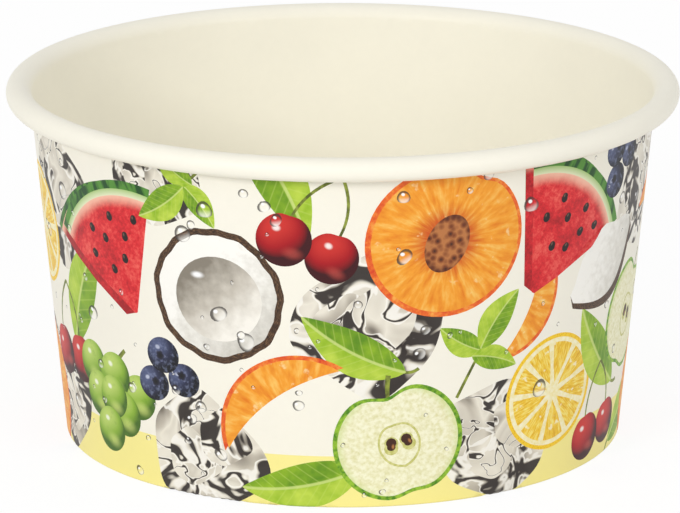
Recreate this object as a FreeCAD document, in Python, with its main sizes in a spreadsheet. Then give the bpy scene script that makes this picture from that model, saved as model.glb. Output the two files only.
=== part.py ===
"""A paper dessert cup with a rolled rim and a recessed base, in millimetres.

The cup is two pieces of coated board. The side wall is one cone-shaped sheet: its side edges lap and
are sealed at the back, its top edge is rolled outwards into the rim, and its bottom edge is folded in
and up. The base is a disc with a turned-down skirt, which that fold clamps against the wall.

+Z is up, the cup's axis is Z, and the origin is the centre of the foot, on the surface it stands on.
"""

import FreeCAD, Part
import math
import os
import Sketcher

PARTS_FOLDER = "parts"

# Driving dimensions: name, value in millimetres or degrees, and what it measures.
SIZES = (
    ("rim_diameter", 92.0, "outside of the rolled rim"),
    ("cup_height", 49.4, "foot to the top of the rim"),
    ("foot_diameter", 76.6, "outside of the wall where it meets the ground"),
    ("wall_board", 0.35, "thickness of the side wall's board"),
    ("lip_radius", 2.0, "outside of the rim's roll where it leaves the wall"),
    ("roll_radius", 1.6, "outside of the rim's roll, on its outer half"),
    ("tuck_angle", 110.0, "how far the roll's free edge turns in, past the roll's lowest point"),
    ("tuck_gap", 0.1, "clearance from the tucked-in edge to the side seam"),
    ("base_board", 0.32, "thickness of the base's board"),
    ("floor_height", 6.6, "ground to the top of the base"),
    ("bend_radius", 1.0, "outside of the bend between the base and its skirt"),
    ("seal_gap", 0.02, "film of sealant between boards that are pressed together"),
    ("skirt_gap", 0.15, "clearance from the skirt's edge to the fold under it"),
    ("fold_radius", 0.4, "outside of the two corners of the folded foot"),
    ("hem_gap", 0.4, "clearance from the hem's edge to the base's bend"),
    ("lap_width", 8.0, "width of the side seam, measured at the rim"),
    ("ramp_turn", 18.0, "room for the seam's outer layer to come down to the wall"),
    ("seam_angle", 85.0, "where the side seam starts, round from +X"),
)

# How a sketch numbers the points of its curves, and its own axes and origin.
START, END, CENTRE = range(1, 4)
X_AXIS, Z_AXIS = range(-1, -3, -1)
ORIGIN_POINT = (X_AXIS, START)


def make_sizes(doc):
    """The sheet of driving dimensions, one alias for each value."""
    sheet = doc.addObject("Spreadsheet::Sheet", "sizes")
    for row, (alias, value, meaning) in enumerate(SIZES, start=1):
        sheet.set(f"A{row}", alias)
        sheet.set(f"B{row}", str(value))
        sheet.set(f"C{row}", meaning)
        sheet.setAlias(f"B{row}", alias)
    doc.recompute()
    return sheet


class Section:
    """A sketch in the XZ half-plane, drawn where its constraints will hold it and then constrained.

    The first coordinate is the distance from the cup's axis, and the second the height.
    """

    def __init__(self, doc, name):
        self.sketch = doc.addObject("Sketcher::SketchObject", name)
        upright = FreeCAD.Rotation(FreeCAD.Vector(1, 0, 0), 90)
        self.sketch.Placement = FreeCAD.Placement(FreeCAD.Vector(), upright)

    def line(self, start, end, construction=False):
        edge = Part.LineSegment(FreeCAD.Vector(*start, 0), FreeCAD.Vector(*end, 0))
        return self.sketch.addGeometry(edge, construction)

    def arc(self, centre, radius, start_degrees, end_degrees):
        """An arc that runs anticlockwise from its start to its end."""
        circle = Part.Circle(FreeCAD.Vector(*centre, 0), FreeCAD.Vector(0, 0, 1), radius)
        start, end = math.radians(start_degrees), math.radians(end_degrees)
        return self.sketch.addGeometry(Part.ArcOfCircle(circle, start, end), False)

    def point(self, place):
        return self.sketch.addGeometry(Part.Point(FreeCAD.Vector(*place, 0)), True)

    def hold(self, kind, *where):
        self.sketch.addConstraint(Sketcher.Constraint(kind, *where))

    def size(self, kind, where, name, value, expression):
        """A named dimension, bound to the sheet."""
        index = self.sketch.addConstraint(Sketcher.Constraint(kind, *where, value))
        self.sketch.renameConstraint(index, name)
        self.sketch.setExpression(f"Constraints.{name}", expression)

    def measure(self, kind, where, name, value):
        """A named dimension that is only read, by the pieces that fit this one."""
        index = self.sketch.addConstraint(Sketcher.Constraint(kind, *where, value))
        self.sketch.setDriving(index, False)
        self.sketch.renameConstraint(index, name)


def wall_slope(size):
    """Degrees that the wall leans out: its printed face runs from the foot up to touch the roll."""
    across = (size.rim_diameter - size.foot_diameter) / 2 - size.roll_radius
    up = size.cup_height - size.lip_radius
    clear = size.lip_radius - size.wall_board
    return math.degrees(math.atan2(across, up) - math.asin(clear / math.hypot(across, up)))


def draw_wall_path(doc, size):
    """The printed face of the side wall's board, from the hem's edge to the edge inside the roll."""
    section = Section(doc, "wall_path")
    slope = wall_slope(size)
    sine, cosine = math.sin(math.radians(slope)), math.cos(math.radians(slope))
    tangent = sine / cosine
    foot = size.foot_diameter / 2
    fold = size.fold_radius
    hem_width = 2 * size.wall_board + size.base_board + 2 * size.seal_gap
    hem_foot = foot - hem_width / cosine
    hem_top = size.floor_height - size.bend_radius - size.hem_gap

    inner_corner = (hem_foot + fold * (tangent + 1 / cosine), fold)
    outer_corner = (foot + fold * (tangent - 1 / cosine), fold)
    roll_x = size.rim_diameter / 2 - size.roll_radius
    lip_centre = (roll_x, size.cup_height - size.lip_radius)
    lip_inside = size.lip_radius - size.wall_board
    roll_centre = (roll_x, size.cup_height - size.roll_radius)
    roll_inside = size.roll_radius - size.wall_board
    lean = (2 * size.roll_radius - size.lip_radius) * sine
    beside_seam = size.wall_board + size.tuck_gap
    tuck_outside = (lip_inside - beside_seam + lean) / (1 + sine)
    tuck_inside = tuck_outside - size.wall_board
    tuck_centre = (roll_x, size.cup_height - 2 * size.roll_radius + tuck_outside)
    wall_start = (outer_corner[0] + fold * cosine, fold - fold * sine)
    wall_end = (lip_centre[0] - lip_inside * cosine, lip_centre[1] + lip_inside * sine)
    hem_end = (inner_corner[0] - fold * cosine, fold + fold * sine)
    to_wall = tuck_outside + beside_seam
    beside_tuck = (tuck_centre[0] - to_wall * cosine, tuck_centre[1] + to_wall * sine)
    on_tuck = (tuck_centre[0] - tuck_inside * cosine, tuck_centre[1] + tuck_inside * sine)

    hem = section.line((hem_foot + hem_top * tangent, hem_top), hem_end)
    inner_fold = section.arc(inner_corner, fold, 180 - slope, 270)
    ground = section.line((inner_corner[0], 0), (outer_corner[0], 0))
    outer_fold = section.arc(outer_corner, fold, 270, 360 - slope)
    wall = section.line(wall_start, wall_end)
    lip = section.arc(lip_centre, lip_inside, 90, 180 - slope)
    roll = section.arc(roll_centre, roll_inside, -90, 90)
    tuck = section.arc(tuck_centre, tuck_inside, -90 - size.tuck_angle, -90)
    probe = section.line(tuck_centre, beside_tuck, construction=True)
    spoke_end = -90 - size.tuck_angle
    spoke_tip = (
        tuck_centre[0] + tuck_inside * math.cos(math.radians(spoke_end)),
        tuck_centre[1] + tuck_inside * math.sin(math.radians(spoke_end)),
    )
    spoke = section.line(tuck_centre, spoke_tip, construction=True)
    corner = section.point((foot, 0))
    touch = section.point(on_tuck)

    section.hold("Tangent", hem, END, inner_fold, START)
    section.hold("Tangent", inner_fold, END, ground, START)
    section.hold("Tangent", ground, END, outer_fold, START)
    section.hold("Tangent", outer_fold, END, wall, START)
    section.hold("Tangent", wall, END, lip, END)
    section.hold("Tangent", lip, START, roll, END)
    section.hold("Tangent", roll, START, tuck, END)
    section.hold("PointOnObject", ground, START, X_AXIS)
    section.hold("Horizontal", ground)
    section.hold("Parallel", hem, wall)
    section.hold("Equal", inner_fold, outer_fold)
    section.hold("Vertical", lip, CENTRE, roll, CENTRE)
    section.hold("Vertical", roll, START, roll, CENTRE)
    section.hold("PointOnObject", corner, START, wall)
    section.hold("PointOnObject", corner, START, X_AXIS)
    section.hold("Coincident", probe, START, tuck, CENTRE)
    section.hold("Perpendicular", probe, wall)
    section.hold("PointOnObject", probe, END, wall)
    section.hold("PointOnObject", touch, START, probe)
    section.hold("PointOnObject", touch, START, tuck)
    section.hold("Coincident", spoke, START, tuck, CENTRE)
    section.hold("Coincident", spoke, END, tuck, START)

    section.size("DistanceX", (*ORIGIN_POINT, corner, START), "foot", foot, "sizes.foot_diameter / 2")
    section.size("Radius", (outer_fold,), "fold", fold, "sizes.fold_radius")
    section.size(
        "Distance", (hem, START, wall), "hem_width", hem_width,
        "2 * sizes.wall_board + sizes.base_board + 2 * sizes.seal_gap",
    )
    section.size(
        "DistanceY", (*ORIGIN_POINT, hem, START), "hem_top", hem_top,
        "sizes.floor_height - sizes.bend_radius - sizes.hem_gap",
    )
    section.size(
        "DistanceX", (*ORIGIN_POINT, lip, CENTRE), "roll_place", roll_x,
        "sizes.rim_diameter / 2 - sizes.roll_radius",
    )
    section.size(
        "DistanceY", (*ORIGIN_POINT, lip, CENTRE), "lip_height", lip_centre[1],
        "sizes.cup_height - sizes.lip_radius",
    )
    section.size("Radius", (lip,), "lip", lip_inside, "sizes.lip_radius - sizes.wall_board")
    section.size("Radius", (roll,), "roll", roll_inside, "sizes.roll_radius - sizes.wall_board")
    section.size(
        "Distance", (touch, START, probe, END), "tuck", size.wall_board + beside_seam,
        "2 * sizes.wall_board + sizes.tuck_gap",
    )
    section.size(
        "Angle", (Z_AXIS, START, spoke, START), "tuck_turn", math.radians(180 - size.tuck_angle),
        "180 deg - sizes.tuck_angle * 1 deg",
    )
    section.measure("Angle", (wall, START, Z_AXIS, START), "slope", math.radians(slope))
    return section.sketch


def draw_base_path(doc, size):
    """The upper face of the base's board, from the cup's axis out and down to the skirt's edge."""
    section = Section(doc, "base_path")
    slope = wall_slope(size)
    sine, cosine = math.sin(math.radians(slope)), math.cos(math.radians(slope))
    skirt_foot = size.foot_diameter / 2 - (size.wall_board + size.seal_gap) / cosine
    skirt_bottom = size.wall_board + size.skirt_gap
    bend_height = size.floor_height - size.bend_radius
    bend_x = skirt_foot + bend_height * sine / cosine - size.bend_radius / cosine
    skirt_top = (bend_x + size.bend_radius * cosine, bend_height - size.bend_radius * sine)
    skirt_end = (skirt_foot + skirt_bottom * sine / cosine, skirt_bottom)

    floor = section.line((0, size.floor_height), (bend_x, size.floor_height))
    bend = section.arc((bend_x, bend_height), size.bend_radius, -slope, 90)
    skirt = section.line(skirt_top, skirt_end)
    corner = section.point((skirt_foot, 0))

    section.hold("PointOnObject", floor, START, Z_AXIS)
    section.hold("Horizontal", floor)
    section.hold("Tangent", floor, END, bend, END)
    section.hold("Tangent", bend, START, skirt, START)
    section.hold("PointOnObject", corner, START, skirt)
    section.hold("PointOnObject", corner, START, X_AXIS)

    section.size(
        "DistanceY", (*ORIGIN_POINT, floor, START), "floor", size.floor_height, "sizes.floor_height",
    )
    section.size("Radius", (bend,), "bend", size.bend_radius, "sizes.bend_radius")
    section.size(
        "Angle", (skirt, END, Z_AXIS, START), "lean", math.radians(slope), "wall_path.Constraints.slope",
    )
    section.size(
        "DistanceX", (*ORIGIN_POINT, corner, START), "skirt_foot", skirt_foot,
        "sizes.foot_diameter / 2 - (sizes.wall_board + sizes.seal_gap) / cos(wall_path.Constraints.slope)",
    )
    section.size(
        "DistanceY", (*ORIGIN_POINT, skirt, END), "skirt_bottom", skirt_bottom,
        "sizes.wall_board + sizes.skirt_gap",
    )
    return section.sketch


def make_board(doc, path, name, thickness, turn):
    """A path given its board's thickness on one side, and turned about the cup's axis."""
    section = doc.addObject("Part::Offset2D", f"{name}_section")
    section.Source = path
    section.Mode = "Skin"
    section.Join = "Arc"
    section.Fill = True
    section.setExpression("Value", thickness)

    board = doc.addObject("Part::Revolution", name)
    board.Source = section
    board.Axis = FreeCAD.Vector(0, 0, 1)
    board.Solid = True
    board.setExpression("Angle", turn)
    return board


def make_cone(doc, name, radius, turn):
    """A cone that leans as the wall does, from the top of the foot's corner up into the roll."""
    cone = doc.addObject("Part::Cone", name)
    height = "sizes.cup_height - sizes.lip_radius - sizes.fold_radius"
    slope = "tan(wall_path.Constraints.slope)"
    cone.setExpression("Radius1", f"{radius} + sizes.fold_radius * {slope}")
    cone.setExpression("Radius2", f"{radius} + (sizes.cup_height - sizes.lip_radius) * {slope}")
    cone.setExpression("Height", height)
    cone.setExpression("Angle", turn)
    cone.setExpression("Placement.Base.z", "sizes.fold_radius")
    return cone


def combine(doc, kind, name, base, tool):
    result = doc.addObject(kind, name)
    result.Base = base
    result.Tool = tool
    return result


def turn_to_seam(part, angle):
    """Hold a part at its place round the cup."""
    part.Placement.Rotation = FreeCAD.Rotation(FreeCAD.Vector(0, 0, 1), 1)
    part.setExpression("Placement.Rotation.Angle", angle)


def make_side_wall(doc, wall_path):
    """The rolled and folded sheet, with its lapped seam."""
    lap_turn = "sizes.lap_width / sizes.rim_diameter * 360 deg / pi"
    ramp_turn = "sizes.ramp_turn * 1 deg"
    sheet = make_board(doc, wall_path, "wall_sheet", "sizes.wall_board", "360 deg")

    # The outer layer of the seam follows the inner one round the roll and under the foot, where the
    # ground presses it flat.
    layer = make_board(doc, wall_path, "seam_layer", "-sizes.wall_board", lap_turn)
    ground = doc.addObject("Part::Box", "ground")
    ground.setExpression("Length", "sizes.rim_diameter")
    ground.setExpression("Width", "sizes.rim_diameter")
    ground.setExpression("Height", "2 * sizes.wall_board")
    ground.setExpression("Placement.Base.z", "-2 * sizes.wall_board")
    lap = combine(doc, "Part::Cut", "seam_lap", layer, ground)
    turn_to_seam(lap, "sizes.seam_angle * 1 deg")

    # Past the lap the outer layer comes down to the wall. Its face there is part of a narrower cone
    # that touches the lap's face.
    lapped = "(sizes.foot_diameter / 2 + sizes.wall_board / cos(wall_path.Constraints.slope))"
    sunk = "(sizes.foot_diameter / 2 - sizes.wall_board / 2)"
    block = make_cone(doc, "ramp_block", lapped, ramp_turn)
    core = make_cone(doc, "ramp_core", sunk, "360 deg")
    shell = combine(doc, "Part::Cut", "ramp_shell", block, core)
    narrow = make_cone(doc, "ramp_face", f"{lapped} / 2", "360 deg")
    narrow.setExpression("Placement.Base.x", f"{lapped} / 2")
    ramp = combine(doc, "Part::Common", "seam_ramp", shell, narrow)
    turn_to_seam(ramp, f"sizes.seam_angle * 1 deg + {lap_turn}")

    side_wall = doc.addObject("Part::MultiFuse", "sidewall")
    side_wall.Shapes = [sheet, lap, ramp]
    return side_wall


def check(doc):
    """Stop if any object failed to build or isn't a sound shape."""
    for item in doc.Objects:
        if "Invalid" in item.State or "Error" in item.State:
            raise RuntimeError(f"{item.Name} did not build: {item.State}")
        if hasattr(item, "Shape") and not item.Shape.isValid():
            raise RuntimeError(f"{item.Name} has an unsound shape")


def main():
    doc = FreeCAD.newDocument("paper_dessert_cup")
    sizes = make_sizes(doc)
    wall_path = draw_wall_path(doc, sizes)
    doc.recompute()
    base_path = draw_base_path(doc, sizes)
    side_wall = make_side_wall(doc, wall_path)
    base_disc = make_board(doc, base_path, "base_disc", "-sizes.base_board", "360 deg")
    doc.recompute()
    check(doc)

    os.makedirs(PARTS_FOLDER, exist_ok=True)
    for part in (side_wall, base_disc):
        part.Label = part.Name
        if len(part.Shape.Solids) != 1:
            raise RuntimeError(f"{part.Name} is {len(part.Shape.Solids)} solids, not one")
        part.Shape.exportStep(f"{PARTS_FOLDER}/{part.Name}.step")
        box = part.Shape.optimalBoundingBox()
        print(f"{part.Name}: {part.Shape.Volume:.1f} mm3, {len(part.Shape.Faces)} faces")
        print(f"  from {box.XMin:.3f} {box.YMin:.3f} {box.ZMin:.3f}")
        print(f"  to {box.XMax:.3f} {box.YMax:.3f} {box.ZMax:.3f}")


main()
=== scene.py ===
"""A paper dessert cup: one printed sheet, rolled at the rim and folded in at the foot, and its base.

Lengths are in millimetres until a mesh is made, and then in metres. +Z is up, and the cup stands on
the origin. The printed side of the sheet is the outside of the wall, the inside of the rim's roll and
the side of the hem that faces the cup's axis.
"""

import bpy
import math
import random
from collections import namedtuple
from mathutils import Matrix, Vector
from mathutils.geometry import delaunay_2d_cdt


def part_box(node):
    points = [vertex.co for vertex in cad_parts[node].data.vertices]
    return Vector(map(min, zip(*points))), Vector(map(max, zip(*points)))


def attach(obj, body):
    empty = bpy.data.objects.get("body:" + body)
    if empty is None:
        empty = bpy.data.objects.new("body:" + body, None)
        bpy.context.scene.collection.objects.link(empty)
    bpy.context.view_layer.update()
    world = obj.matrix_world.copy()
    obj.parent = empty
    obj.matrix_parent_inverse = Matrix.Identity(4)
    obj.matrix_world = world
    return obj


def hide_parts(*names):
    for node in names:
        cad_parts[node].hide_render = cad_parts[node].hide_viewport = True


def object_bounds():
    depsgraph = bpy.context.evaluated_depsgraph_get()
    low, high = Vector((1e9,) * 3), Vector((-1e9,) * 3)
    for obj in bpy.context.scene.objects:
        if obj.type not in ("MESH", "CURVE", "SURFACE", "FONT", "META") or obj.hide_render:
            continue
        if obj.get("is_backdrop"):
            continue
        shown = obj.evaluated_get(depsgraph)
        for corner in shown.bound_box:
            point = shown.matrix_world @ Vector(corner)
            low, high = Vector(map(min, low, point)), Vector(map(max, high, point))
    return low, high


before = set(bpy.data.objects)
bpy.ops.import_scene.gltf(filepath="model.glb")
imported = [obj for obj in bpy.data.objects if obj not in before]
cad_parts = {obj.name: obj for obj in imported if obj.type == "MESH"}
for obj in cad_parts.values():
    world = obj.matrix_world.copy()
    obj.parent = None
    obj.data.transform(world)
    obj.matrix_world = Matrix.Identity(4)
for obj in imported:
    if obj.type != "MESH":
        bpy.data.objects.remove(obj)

CAD_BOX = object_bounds()
MM = 0.001

# The cup's sizes. The outer ones come from the frame.
RIM_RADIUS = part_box("sidewall")[1][0] / MM
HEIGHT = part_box("sidewall")[1][2] / MM
FLOOR_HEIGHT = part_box("base_disc")[1][2] / MM
FOOT_RADIUS = 38.3
WALL_BOARD = 0.35
LIP_RADIUS = 2.0
ROLL_RADIUS = 1.6
TUCK_DEGREES = 110.0
TUCK_GAP = 0.1
BASE_BOARD = 0.32
BEND_RADIUS = 1.0
SEAL_GAP = 0.02
SKIRT_GAP = 0.15
FOLD_RADIUS = 0.4
HEM_GAP = 0.4
LAP_WIDTH = 8.0
SEAM_AZIMUTH = 85.0

# The seam: its lap, the turn in which its outer layer comes down beyond the lap, the crack where its
# inner edges meet, and the gap between its layers.
LAP_DEGREES = math.degrees(LAP_WIDTH / RIM_RADIUS)
RAMP_DEGREES = 8.0
JOIN_DEGREES = 0.004
LAYER_GAP = 0.01

# The print: how high its plain band and the print itself go, and where its front is.
BAND_HEIGHT = 7.4
PRINT_TOP = 47.0
FRONT_AZIMUTH = 270.0


def srgb(red, green, blue):
    """A colour as it looks on screen, 0 to 255, as the numbers that a shader takes."""
    def linear(value):
        value /= 255
        return value / 12.92 if value <= 0.04045 else ((value + 0.055) / 1.055) ** 2.4
    return (linear(red), linear(green), linear(blue), 1.0)


WHITE = srgb(255, 255, 255)
PRINT_WHITE = srgb(248, 244, 230)
PRINT_YELLOW = srgb(251, 239, 152)
BOARD_WHITE = srgb(251, 247, 232)


def spread(first, last, count):
    """Evenly spaced numbers, both ends among them."""
    return [first + (last - first) * index / (count - 1) for index in range(count)]


# Sections of the two boards

class Path:
    """Straight runs and arcs, end to end. Rows are the distances along it where a mesh has vertices."""

    def __init__(self, start, heading):
        self.point = start
        self.heading = heading
        self.pieces = []
        self.rows = [0.0]

    @property
    def length(self):
        return self.rows[-1]

    def run(self, length, turn, count):
        """A run of some length that turns left by so many radians, with count rows."""
        start = self.length
        self.pieces.append((start, start + length, self.point, self.heading, turn / length))
        self.rows += spread(start, start + length, count + 1)[1:]
        self.point, self.heading = self.at(start + length)

    def line(self, length, count):
        self.run(length, 0.0, count)

    def arc(self, radius, degrees, count):
        turn = math.radians(degrees)
        self.run(abs(turn) * radius, turn, count)

    def at(self, distance):
        """(point, heading) at a distance along the path."""
        for start, end, point, heading, bend in self.pieces:
            if distance <= end:
                break
        along = distance - start
        if bend == 0:
            return (point[0] + along * math.cos(heading), point[1] + along * math.sin(heading)), heading
        turned = heading + bend * along
        across = (math.sin(turned) - math.sin(heading)) / bend
        up = (math.cos(heading) - math.cos(turned)) / bend
        return (point[0] + across, point[1] + up), turned


LIP_INSIDE = LIP_RADIUS - WALL_BOARD
ROLL_X = RIM_RADIUS - ROLL_RADIUS
LIP_HEIGHT = HEIGHT - LIP_RADIUS
ROLL_AWAY = ROLL_X - FOOT_RADIUS
SLOPE = math.atan2(ROLL_AWAY, LIP_HEIGHT) - math.asin(LIP_INSIDE / math.hypot(ROLL_AWAY, LIP_HEIGHT))
SLOPE_DEGREES = math.degrees(SLOPE)
SINE, COSINE, TANGENT = math.sin(SLOPE), math.cos(SLOPE), math.tan(SLOPE)


def sheet_path():
    """The printed face, from the hem's edge round the foot, up the wall and round the roll."""
    hem_foot = FOOT_RADIUS - (2 * WALL_BOARD + BASE_BOARD + 2 * SEAL_GAP) / COSINE
    hem_top = FLOOR_HEIGHT - BEND_RADIUS - HEM_GAP
    hem_bottom = FOLD_RADIUS * (1 + SINE)
    inner_corner = hem_foot + FOLD_RADIUS * (TANGENT + 1 / COSINE)
    outer_corner = FOOT_RADIUS + FOLD_RADIUS * (TANGENT - 1 / COSINE)
    wall_start = (outer_corner + FOLD_RADIUS * COSINE, FOLD_RADIUS * (1 - SINE))
    wall_end = (ROLL_X - LIP_INSIDE * COSINE, LIP_HEIGHT + LIP_INSIDE * SINE)
    beside_seam = WALL_BOARD + TUCK_GAP
    lean = (2 * ROLL_RADIUS - LIP_RADIUS) * SINE
    tuck_inside = (LIP_INSIDE - beside_seam + lean) / (1 + SINE) - WALL_BOARD

    path = Path((hem_foot + hem_top * TANGENT, hem_top), -math.pi / 2 - SLOPE)
    path.line((hem_top - hem_bottom) / COSINE, 3)
    path.arc(FOLD_RADIUS, 90 + SLOPE_DEGREES, 6)
    path.line(outer_corner - inner_corner, 1)
    path.arc(FOLD_RADIUS, 90 - SLOPE_DEGREES, 6)
    path.wall_start = path.length
    path.wall_base = wall_start[1]
    path.line(math.dist(wall_start, wall_end), 12)
    path.wall_end = path.length
    path.arc(LIP_INSIDE, SLOPE_DEGREES - 90, 9)
    path.arc(ROLL_RADIUS - WALL_BOARD, -180, 18)
    path.arc(tuck_inside, -TUCK_DEGREES, 10)
    return path


def base_path():
    """The upper face of the base, from the axis out, round the bend and down the skirt."""
    skirt_foot = FOOT_RADIUS - (WALL_BOARD + SEAL_GAP) / COSINE
    skirt_bottom = WALL_BOARD + SKIRT_GAP
    bend_height = FLOOR_HEIGHT - BEND_RADIUS
    bend_x = skirt_foot + bend_height * TANGENT - BEND_RADIUS / COSINE
    skirt_top = bend_height - BEND_RADIUS * SINE

    path = Path((0.0, FLOOR_HEIGHT), 0.0)
    path.line(bend_x, 12)
    path.arc(BEND_RADIUS, -90 - SLOPE_DEGREES, 10)
    path.line((skirt_top - skirt_bottom) / COSINE, 3)
    return path


# Outlines of the printed motifs. A motif is about 2 across, and each of its fields is a look, an
# outline, and the frame that its look is drawn in: middle x and y, reach and turn. A field that names
# no frame has the whole motif's.

WHOLE = (0.0, 0.0, 1.0, 0.0)

# The look of a drop: whatever lies under it shows through.
CLEAR = "clear"


def off_centre(centre, reach, angle):
    """The point at a distance and an angle from a centre."""
    return (centre[0] + reach * math.cos(angle), centre[1] + reach * math.sin(angle))


def polar(radius, count=56, centre=(0, 0), turn=0.0):
    """A closed outline whose distance from its centre is a function of the angle."""
    angles = [math.tau * index / count for index in range(count)]
    return [off_centre(centre, radius(angle), angle + turn) for angle in angles]


def turned_about(points, turn, shift=(0, 0), size=1.0):
    """Points scaled, turned and then shifted."""
    cos, sin = size * math.cos(turn), size * math.sin(turn)
    return [(shift[0] + x * cos - y * sin, shift[1] + x * sin + y * cos) for x, y in points]


def ellipse(width, height, centre=(0, 0), turn=0.0, count=36):
    angles = [math.tau * index / count for index in range(count)]
    return turned_about([(width * math.cos(a), height * math.sin(a)) for a in angles], turn, centre)


def scaled(points, size, shift=(0, 0)):
    return turned_about(points, 0.0, shift, size)


def arc_points(radius, first, last, count, centre=(0, 0)):
    return [off_centre(centre, radius, angle) for angle in spread(first, last, count)]


def bump(angle, where, width):
    """1 at an angle, falling smoothly to 0 within about two widths of it."""
    away = (angle - where + math.pi) % math.tau - math.pi
    return math.exp(-(away / width) ** 2)


def seed_outline(length, centre, turn, taper, slim):
    """A pip, pointed a little at one end."""
    def reach(angle):
        return length * (1 - taper * math.cos(angle)) * (slim + (1 - slim) * abs(math.cos(angle)))
    return polar(reach, 16, centre, turn)


def ribbon(start, bend, end, start_width, end_width, count=10):
    """A curved strip, such as a stem, from start to end and pulled towards bend."""
    left, right = [], []
    for step in spread(0.0, 1.0, count + 1):
        axes = list(zip(start, bend, end))
        x, y = [(1 - step) ** 2 * a + 2 * step * (1 - step) * b + step ** 2 * c for a, b, c in axes]
        dx, dy = [2 * (1 - step) * (b - a) + 2 * step * (c - b) for a, b, c in axes]
        half = (start_width + (end_width - start_width) * step) / 2 / math.hypot(dx, dy)
        left.append((x - dy * half, y + dx * half))
        right.append((x + dy * half, y - dx * half))
    return left + right[::-1]


LEAF_BEND = 0.12


def leaf_outline(width=0.38, count=24):
    """A leaf along x, pointed at both ends, with its spine bent up."""
    upper, lower = [(-1.0, 0.0)], []
    for step in spread(0.0, 1.0, count + 1)[1:-1]:
        x = 2 * step - 1
        middle = LEAF_BEND * (1 - x * x)
        half = width * math.sin(math.pi * step ** 0.85) ** 0.85
        upper.append((x, middle + half))
        lower.append((x, middle - half))
    return lower[::-1] + upper + [(1.0, 0.0)]


# The motifs

def peach(rng):
    """Half a peach with its stone."""
    skin = polar(lambda a: 1 - 0.09 * bump(a, math.pi / 2, 0.2) + 0.02 * math.sin(2 * a + 0.6))
    stone = (0.02, -0.03, 0.38, 0.1)
    return [
        ("peach_skin", skin),
        ("peach_flesh", scaled(skin, 0.94, (0.01, 0.01))),
        ("peach_stone", ellipse(0.27, 0.38, stone[:2], stone[3]), stone),
    ]


def peach_slice(rng):
    """A thick crescent, with its skin along the outer edge."""
    middle = (-0.42, 0.0)

    def crescent(radius, half):
        outer = arc_points(radius, -half, half, 30, middle)
        tip_x, tip_y = outer[-1]
        return outer + [(tip_x + 0.2 * (1 - y * y), tip_y * y) for y in spread(1.0, -1.0, 16)[1:-1]]
    own = (*middle, 1.0, 0.0)
    return [("peach_skin", crescent(1.06, 1.22), own), ("peach_cut", crescent(1.00, 1.20), own)]


# Half the wedge's angle, and its seeds: distance from its tip, and degrees from its middle.
MELON_HALF = math.radians(36)
MELON_SEEDS = (
    (0.62, -8), (0.70, 13), (0.93, -22), (0.98, -3), (0.96, 18), (1.17, -13), (1.20, 8), (1.18, 26),
)


def melon(rng):
    """A wedge: skin, pale rind and red flesh, all about its tip, with seeds and its side behind it."""
    tip = (0.0, -0.75)
    behind = (tip[0] - 0.15, tip[1] + 0.02)
    fields = []
    for look, reach, (x, y) in (
        ("melon_skin", 1.60, behind), ("melon_side", 1.52, behind),
        ("melon_skin", 1.60, tip), ("melon_rind", 1.50, tip), ("melon_flesh", 1.42, tip),
    ):
        foot = [(x - 0.02, y + 0.05), (tip[0] + 0.02, tip[1] + 0.05)]
        edge = arc_points(reach, math.pi / 2 - MELON_HALF, math.pi / 2 + MELON_HALF, 24, (x, y))
        fields.append((look, foot + edge, (x, y, 1.6, 0.0)))
    for reach, degrees in MELON_SEEDS:
        turn = math.pi / 2 - math.radians(degrees + rng.uniform(-2, 2))
        at = off_centre(tip, reach, turn)
        fields.append(("dark_seed", seed_outline(0.058, at, turn, 0.28, 0.72), (*at, 0.06, turn)))
    return fields


def cherries(rng):
    """Two cherries on joined stems."""
    top = (0.23, 0.92)
    fields = []
    for x, y, size, pull in ((0.44, -0.52, 0.46, (0.62, 0.4)), (-0.42, -0.44, 0.48, (-0.35, 0.5))):
        fields.append(("stem", ribbon((x, y + 0.30), pull, top, 0.045, 0.06)))
        skin = polar(lambda a: size * (1 - 0.08 * bump(a, math.pi / 2, 0.3)), 40, (x, y))
        fields.append(("cherry", skin, (x, y, size, rng.uniform(-0.3, 0.3))))
    return fields


def blueberries(rng):
    """Three berries, each with its crown."""
    fields = []
    for x, y, size in ((-0.44, -0.28, 0.46), (0.48, -0.22, 0.44), (0.02, 0.42, 0.47)):
        turn = rng.uniform(-0.5, 0.5)
        fields.append(("blueberry", ellipse(size, size * 0.96, (x, y)), (x, y, size, turn)))
        middle = (x + rng.uniform(-0.12, 0.12), y + rng.uniform(-0.05, 0.12))
        crown = polar(lambda a: 0.13 * (1 + 0.32 * math.cos(5 * a)), 30, middle, turn)
        fields.append(("berry_crown", crown, (*middle, 0.16, turn)))
    return fields


GRAPE_PLACES = (
    (-0.62, 0.48), (0.62, 0.44), (0.0, 0.56), (-0.36, 0.02), (0.34, 0.0), (0.02, 0.16), (0.02, -0.46),
)


def grapes(rng):
    """A small bunch, each grape over the ones behind it."""
    fields = [("stem", ribbon((0.0, 0.7), (0.05, 0.9), (0.2, 1.12), 0.10, 0.07))]
    for x, y in GRAPE_PLACES:
        size = rng.uniform(0.34, 0.38)
        outline = ellipse(size, size * 1.08, (x, y), rng.uniform(-0.4, 0.4))
        fields.append(("grape", outline, (x, y, size * 1.06, 0.0)))
    return fields


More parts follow.
